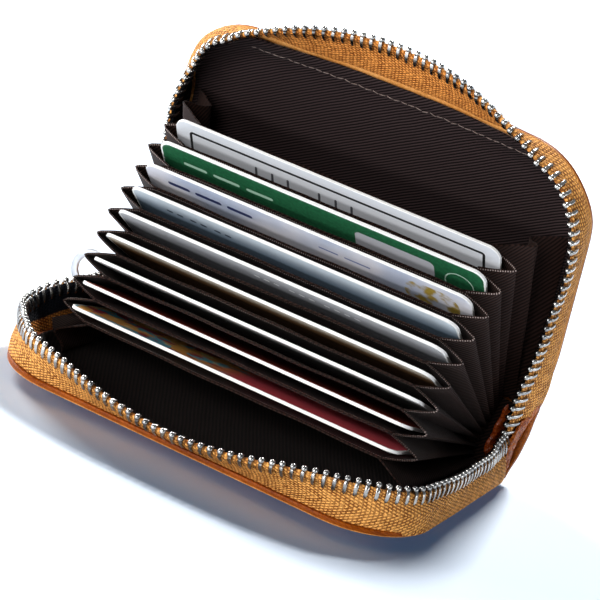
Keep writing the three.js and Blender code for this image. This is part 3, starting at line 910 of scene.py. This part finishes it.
def add_divider(place):
    """A pocket divider with a folded hem along its top."""
    fan = Fan(place)
    hem = DIVIDER_HEIGHT - np.array([2.9, 2.6, 1.6, 0.6, 0.2, 0.0])
    heights = np.concatenate([np.linspace(0, DIVIDER_HEIGHT - 3.2, 13), hem])[:, None]
    x = np.linspace(-DIVIDER_WIDTH / 2, DIVIDER_WIDTH / 2, 49)
    share = heights / DIVIDER_HEIGHT
    phase = rng.uniform(0, 6.28, 3)
    wave = 0.1 * np.sin(0.13 * x + phase[0]) + 0.06 * np.sin(0.31 * x + phase[1])
    dip = 0.22 * np.sin(0.07 * x + phase[2]) * smooth(0.6, 1.0, share)
    thick = np.full((len(heights), 1), 0.4)
    thick[-5:, 0] = (0.62, 0.66, 0.66, 0.5, 0.22)
    piece = sheet(f"divider_cloth_{place}", fan.at(x, heights + dip, wave * share), thick, POCKET_TWILL)
    settle(piece, f"divider_{place}", [f"divider_{place}"])


def folded(edge_out, tip, edge_in, count):
    """A cross-section folded once: straight from one edge to a rounded crease and on to the other edge."""
    first = np.linspace(0, 1, count)[:, None]
    line = np.concatenate([edge_out + (tip - edge_out) * first, tip + (edge_in - tip) * first[1:]])
    line[count - 1] = 0.5 * line[count - 1] + 0.25 * (line[count - 2] + line[count])
    return line


def add_pleat(pocket, word, side):
    """The folded cloth that joins two dividers' ends, its crease outwards."""
    fan = Fan(pocket - 0.5)
    hem = DIVIDER_HEIGHT - np.array([0.8, 0.3, 0.0])
    heights = np.concatenate([np.linspace(0.2, DIVIDER_HEIGHT - 1.5, 15), hem])
    widen = tan(radians((Fan(pocket).turn - Fan(pocket - 1).turn) / 2))
    lift = rng.uniform(-0.25, 0.25, 2)
    rows = []
    for height in heights:
        share = height / DIVIDER_HEIGHT
        wide = POCKET_PITCH / 2 - 0.05 + height * widen
        tip = np.array([PLEAT_TIP + PLEAT_FLARE * share + lift[0] * share, 0.3 * lift[1]])
        line = folded(np.array([PLEAT_START, wide]), tip, np.array([PLEAT_START, -wide]), 8)
        sag = 0.22 * np.sin(np.linspace(0, 2 * pi, len(line))) * share
        droop = 0.35 * np.sin(pi * np.linspace(0, 1, len(line))) * share
        rows.append(fan.at(side * line[:, 0], height - droop, line[:, 1] + sag))
    thick = np.full((len(heights), 1), PLEAT_CLOTH)
    thick[-3:, 0] = (0.42, 0.36, 0.18)
    piece = sheet(f"pleat_cloth_{word}_{pocket}", np.array(rows), thick, POCKET_TWILL, sharp=70)
    body = f"pocket_{pocket}" if 2 * pocket - 1 != POCKETS else "spine"
    settle(piece, body, [f"pleat_{word}_{pocket}"])
    metres(fan.base)
    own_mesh(piece)


for divider in range(POCKETS + 1):
    add_divider(divider)
for pocket_number in range(1, POCKETS + 1):
    for side_word, side_sign in SIDES:
        add_pleat(pocket_number, side_word, side_sign)


def add_gusset(cover, word, side, divider, folds):
    """The wide folded cloth between a cover and the nearest divider, from its end to the cover's side."""
    fan = Fan(divider)
    toward = 1 if cover is FRONT else -1
    rows = []
    for share in np.concatenate([np.linspace(0.02, 0.97, 17), [0.99, 1.0]]):
        line = []
        for x, across, reach in folds:
            height = share * reach
            near = fan.at(side * x, height, toward * 0.3)
            far = cover.at(side * x, height, 0.25 + cover.curled(COVER_LENGTH / 2 - x, height, x))
            line.append(near + (far - near) * across)
        fine = []
        for a, b in zip(line, line[1:]):
            fine += [a + (b - a) * t for t in np.linspace(0, 1, 8)[:-1]]
        fine = np.array(fine + [line[-1]])
        fine[1:-1] = 0.5 * fine[1:-1] + 0.25 * (fine[:-2] + fine[2:])
        place = np.arange(len(fine))
        crumple = np.sin(0.9 * place + 7 * share) * np.sin(0.37 * place + 4 * share)
        rows.append(fine + (cover.crumple * share * crumple)[:, None] * (side * 0.6 * X + cover.run))
    grid = np.array(rows)
    piece = sheet(f"{cover.name}_gusset_cloth_{word}", grid, PLEAT_CLOTH, POCKET_TWILL, sharp=70)
    settle(piece, cover.body, [f"{cover.name}_gusset_{word}"])
    metres(cover.at(0.0, 0.0, 0.0))
    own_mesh(piece)


# A gusset's creases: x, the share of the way to the cover and the height of the crease
FRONT_FOLDS = ((PLEAT_START, 0.0, 50.0), (46.2, 0.4, 49.0), (44.2, 1.0, 45.5), (51.6, 0.5, 42.0))
REAR_FOLDS = ((PLEAT_START, 0.0, 50.0), (47.4, 0.28, 50.0), (42.5, 0.6, 47.0), (49.8, 0.97, 46.0))
for side_word, side_sign in SIDES:
    add_gusset(FRONT, side_word, side_sign, POCKETS, FRONT_FOLDS)
    add_gusset(REAR, side_word, side_sign, 0, REAR_FOLDS)


# Cards


class CardGraph(Graph):
    """A card's printed face, drawn with plain shapes in the card's own millimetres."""

    def __init__(self, number):
        face = bpy.data.materials.new(f"card_face_{number}")
        super().__init__(face, Specular_IOR_Level=0.5, Coat_Weight=0.25, Coat_Roughness=0.2)
        self.at = self.map()
        self.u, self.v = self.split(self.at)
        self.grain = self.noise(self.at, 2.2, 3.0)

    def shape(self, x, y, half_x, half_y, radius):
        """The distance outside a rounded rectangle."""
        dx = self.math("MAXIMUM", abs(self.u - x) - (half_x - radius), 0.0)
        dy = self.math("MAXIMUM", abs(self.v - y) - (half_y - radius), 0.0)
        return self.math("SQRT", dx * dx + dy * dy) - radius

    def bars(self, base, code, rows):
        """Round-ended bars, each by its middle, its distance below the card's top and its half sizes."""
        for x, below, half_x, half_y in rows:
            bar = self.shape(x, CARD_HEIGHT - below, half_x, half_y, min(half_x, half_y)) < 0.0
            base = self.mix(bar, base, code)
        return base

    def bordered(self, base, code="#f1f1ee"):
        return self.mix(self.shape(0, CARD_HEIGHT / 2, 42.3, 26.5, 2.7) < 0.0, code, base)

    def done(self, base):
        return self.finish(self.mix(self.grain * 0.06, base, "#808080"), self.grain * 0.12 + 0.28)


def card_faces():
    """The nine cards' faces, rear to front."""
    made = []
    top = CARD_HEIGHT
    g = CardGraph(1)
    border = abs(g.shape(0, top / 2, 38.7, 24.0, 0.6)) < 0.35
    strokes = [(x, 7.2, 0.32, 1.6) for x in (-21.0, -16.6, -12.4, -4.0, 0.4, 4.6)]
    made.append(g.done(g.bars(g.mix(border, "#d3d5da", "#0c0c0e"), "#4c4c52", strokes)))
    g = CardGraph(2)
    base = g.tint(g.noise(g.at, 1.2, 3.0), 0.3, 0.7, "#124f2f", "#1f653f")
    base = g.bars(base, "#a9cdb6", [(-33.5, 5.3, 3.2, 0.5), (-25.0, 5.3, 3.6, 0.5), (-16.0, 5.3, 3.6, 0.5)])
    base = g.mix(g.shape(19.5, top - 6.6, 10.2, 2.9, 1.4) < 0.0, base, "#b9bac0")
    base = g.mix(abs(g.shape(36.0, top - 7.6, 3.6, 3.6, 3.6)) < 0.15, base, "#bcd8c6")
    made.append(g.done(g.bordered(base, "#f6f7f5")))
    g = CardGraph(3)
    base = g.tint(g.noise(g.at, 0.05), 0.4, 0.62, "#dad8de", "#b4bccf")
    patch = g.shape(32.5, top - 7.0, 7.0, 5.0, 4.6) < 0.0
    base = g.mix(patch * g.ramp(g.noise(g.at, 0.3, 3.0), 0.42, 0.6), base, "#a58a36")
    words = [(-34.0, 4.6, 3.0, 0.62), (-26.0, 4.6, 3.6, 0.62), (-17.5, 4.6, 3.4, 0.62)]
    base = g.bars(base, "#27305c", words)
    made.append(g.done(g.bars(base, "#6f7ba8", [(6.0, 5.0, 2.6, 0.3), (13.5, 5.0, 3.4, 0.3)])))
    dark = [(x, 5.2, 0.9, 0.45) for x in (-33.0, -30.2, -26.6, -23.8, -20.0, -17.2)]
    pale = [(x, 4.9, 0.8, 0.5) for x in (-6.0, -3.4, -0.8, 3.2, 5.8, 8.4, 12.4, 15.0, 17.6, 20.2)]
    # Cards 4 to 8: each is lighter at its top and darker over a depth below it, as painted shade down in its
    # pocket; the dashes on cards 4 and 5 are print.
    for number, fade, low, high, code, dashes in (
        (4, 8.0, "#6d8092", "#d5dfe6", "#2e3d4d", dark),
        (5, 8.0, "#8c8e94", "#c9cacd", "#eceded", pale),
        (6, 7.0, "#6a4a2c", "#dcd2bd", None, ()),
        (7, 7.0, "#b8b8b4", "#f6f6f4", None, ()),
        (8, 7.0, "#8a2c1c", "#c85a3a", None, ()),
    ):
        g = CardGraph(number)
        # painted shade: the face darkens below its top edge, down into the pocket
        base = g.tint(g.v, top - fade, top, low, high)
        made.append(g.done(g.bordered(g.bars(base, code, dashes))))
    g = CardGraph(9)
    field = g.noise(g.at, 0.12, 1.5)
    other = g.node("VectorMath", {0: g.at, 1: (40.0, 17.0, 0.0)}, operation="ADD")
    other = g.noise(other, 0.15, 1.5)
    left = g.ramp(g.u, 2.0, -8.0)
    base = g.tint(g.u, -8.0, 2.0, "#e4a64e", "#ea5a66")
    base = g.mix(left * g.ramp(field, 0.5, 0.53), base, "#58b2c8")
    base = g.mix(left * g.ramp(other, 0.55, 0.58), base, "#a82a40")
    base = g.mix(left * g.ramp(other, 0.4, 0.37), base, "#f0d9a0")
    made.append(g.done(g.bordered(base)))
    return made


def rounded_rectangle(inset, steps=8):
    """A card's outline inside an inset, from its foot."""
    half, low, high, radius = CARD_WIDTH / 2 - inset, inset, CARD_HEIGHT - inset, CARD_CORNER - inset
    points = []
    for x, y, start in ((half, low, -90), (half, high, 0), (-half, high, 90), (-half, low, 180)):
        middle_x, middle_y = x - copysign(radius, x), y + (radius if y == low else -radius)
        for angle in np.radians(np.linspace(start, start + 90, steps + 1)):
            points.append((middle_x + radius * cos(angle), middle_y + radius * sin(angle)))
    return np.array(points)


def add_card(number, face, edge):
    fan = Fan(number - 0.5)
    half = CARD_THICKNESS / 2
    points, uv = [], []
    rim = half - CARD_BEVEL
    for front, inset in ((half, CARD_BEVEL), (rim, 0.0), (-rim, 0.0), (-half, CARD_BEVEL)):
        outline = rounded_rectangle(inset)
        points.append(fan.at(outline[:, 0], outline[:, 1], front))
        uv.append(outline)
    faces = tube_faces(0, len(points), len(points[0]))
    finish = [1] * (len(faces) - 2) + [0, 0]
    points, uv = np.concatenate(points), np.concatenate(uv)
    piece = add(f"card_sheet_{number}", points, faces, [face, edge], uv, finish, sharp=30)
    settle(piece, f"card_{number}", [f"card_{number}"])


core = material("card_core", Roughness=0.5)
CARD_EDGE = core.finish(core.mix(core.noise(core.map(), 0.8, 3.0), "#dedddb", "#f7f6f3"))
for card_number, card_face in enumerate(card_faces(), 1):
    add_card(card_number, card_face, CARD_EDGE)


# Metal fittings


def slider_point(a, b, out):
    """A point of the slider: a along its run, b up across the zip and out of the case's side."""
    depth = SLIDER_START + SLIDER_LENGTH / 2
    parting = SPINE / 2 + depth * CLOSED_SLOPE
    run = cos(CLOSED_ANGLE) * FRONT.run + sin(CLOSED_ANGLE) * FRONT.inward
    rise = cos(CLOSED_ANGLE) * FRONT.inward - sin(CLOSED_ANGLE) * FRONT.run
    return FRONT.at(-ZIP_HALF - out, depth, parting) + a * run + b * rise


def add_slider():
    half, tall = SLIDER_LENGTH / 2, SLIDER_TALL
    upper = [(half - 0.9, 0.7), (half, 1.5), (half, tall - 0.6), (half - 0.4, tall), (0.5, tall),
             (-half + 1.2, tall * 0.86), (-half, tall * 0.62)]
    outline = [(a, -b) for a, b in upper[::-1]] + [(half - 1.3, 0)] + upper
    lip = [(-half + 0.9, tall - 0.6), (half - 0.3, tall - 0.6), (half - 0.3, tall), (0.5, tall),
           (-half + 1.2, tall * 0.86)]
    post = [(-half + 0.4, -0.1), (-half + 0.4, 1.2), (-half + 2.2, 0.9), (-half + 2.2, 0.2)]
    pieces = [
        plate("slider_outer", outline, slider_point, 1.25, 2.0, 0.22),
        plate("slider_inner", outline, slider_point, -2.0, -1.25, 0.22),
        plate("slider_post", post, slider_point, -1.4, 1.4, 0.12),
    ]
    for sign in (-1, 1):
        side_lip = [(a, sign * b) for a, b in lip]
        pieces.append(plate("slider_lip", side_lip, slider_point, 0.68, 1.4, 0.1))
        pieces.append(plate("slider_lip", side_lip, slider_point, -1.4, -0.68, 0.1))
    turn = np.radians(np.linspace(-90, 90, 13))
    bail = [(2.2 * sin(t), 1.9 + 3.3 * cos(t)) for t in turn]
    bail += [(1.5 * sin(t), 1.9 + 2.5 * cos(t)) for t in turn[::-1]]
    pieces.append(plate("slider_bail", bail, lambda a, b, w: slider_point(a, w, b), -0.75, 0.75, 0.2))
    settle(join("zip_slider_body", pieces), "slider", ["zip_slider"])


def add_ring():
    """The pull ring: a flat band with rounded edges."""
    around, sides = 64, 14
    centre = RING_START + RING_RADIUS
    points = []
    for angle in 2 * pi * np.arange(around) / around:
        for turn in 2 * pi * np.arange(sides) / sides:
            wire = RING_RADIUS + 0.95 * squared(cos(turn), 0.5)
            deep = 0.5 * squared(sin(turn), 0.5)
            points.append(slider_point(deep, wire * sin(angle), centre + wire * cos(angle)))
    faces = [[i % len(points) for i in face] for face in tube_faces(0, around + 1, sides)[:-2]]
    settle(add("pull_ring_wire", points, faces, RING_METAL), "pull_ring", ["pull_ring"])


def add_stop():
    """The bottom stop: a bent clip over both tapes' ends."""
    half = [(0.2, 0.75), (0.35, 1.0), (1.0, 0.85), (1.35, 0.2), (1.2, -0.9)]
    outline = [(-a, b) for a, b in half[::-1]] + half

    def place(across, height, x):
        return on_spine(49.2 + x, SPINE / 2 - 0.6 + across, 2.0 + height)

    settle(plate("zip_stop", outline, place, -1.0, 1.0, 0.2), "spine", ["bottom_stop"])


add_slider()
add_ring()
add_stop()


# Floor, light and camera


def add_floor(size, height):
    mesh = bpy.data.meshes.new("floor")
    corners = [(-size, -size, height), (size, -size, height), (size, size, height), (-size, size, height)]
    mesh.from_pydata(corners, [], [(0, 1, 2, 3)])
    floor = bpy.data.objects.new("floor", mesh)
    scene.collection.objects.link(floor)
    g = material("floor_white", Roughness=0.9, Specular_IOR_Level=0.1, Emission_Color=(0.0, 0.4, 1.0, 1.0))
    seen = g.node("LightPath", output="Is Camera Ray")
    g.give(g.shader, {"Base Color": (0.83, 0.91, 1.0, 1.0), "Emission Strength": seen * 0.09})
    mesh.materials.append(g.owner)
    return floor


def add_light(name, place, width, height, power, kept_off=None):
    """A lamp, whose light may be kept off a piece, as a flag does in a studio."""
    lamp = bpy.data.lights.new(name, "AREA")
    lamp.shape = "RECTANGLE"
    lamp.size = width
    lamp.size_y = height
    lamp.energy = power
    light = bpy.data.objects.new(name, lamp)
    light.location = place
    light.rotation_euler = (AIM - Vector(place)).to_track_quat("-Z", "Y").to_euler()
    scene.collection.objects.link(light)
    if kept_off:
        flag = bpy.data.collections.new(name + "_flag")
        flag.objects.link(kept_off)
        flag.collection_objects[0].light_linking.link_state = "EXCLUDE"
        light.light_linking.receiver_collection = flag


AIM = Vector((0.0, 0.01, 0.03))
table = add_floor(4.0, -0.0002)
add_light("key", (-0.08, 0.97, 1.3), 0.22, 0.22, 35.0)
add_light("left", (-0.8, -0.3, 0.2), 0.4, 0.3, 3.0)
add_light("side", (-0.9, 0.45, 0.5), 0.4, 0.4, 12.0)
add_light("right", (0.85, -0.10, 0.05), 0.5, 0.08, 1.3)
add_light("front", (-0.28, -0.85, 0.06), 0.9, 0.1, 4.6, table)
add_light("fill", (-0.08, -0.75, 0.42), 0.5, 0.3, 4.2, table)

sky = Graph(bpy.data.worlds.new("studio"), "Background", Color=(0.86, 0.93, 1.0, 1.0))
mirrored = sky.node("LightPath", output="Is Glossy Ray") * 0.2 + 0.012
seen = sky.node("LightPath", output="Is Camera Ray")
sky.give(sky.shader, {"Strength": sky.math("MAXIMUM", seen, mirrored)})
scene.world = sky.owner

camera = bpy.data.objects.new("camera", bpy.data.cameras.new("camera"))
scene.collection.objects.link(camera)
camera.data.sensor_width = 36.0
camera.data.lens = 144.78
camera.location = (0.20006, -0.47775, 0.20531)
camera.rotation_euler = Euler([radians(a) for a in (70.986, -15.365, 27.503)], "XYZ")
camera.data.clip_start = 0.02
camera.data.clip_end = 20.0
scene.camera = camera

scene.view_settings.view_transform = "Standard"
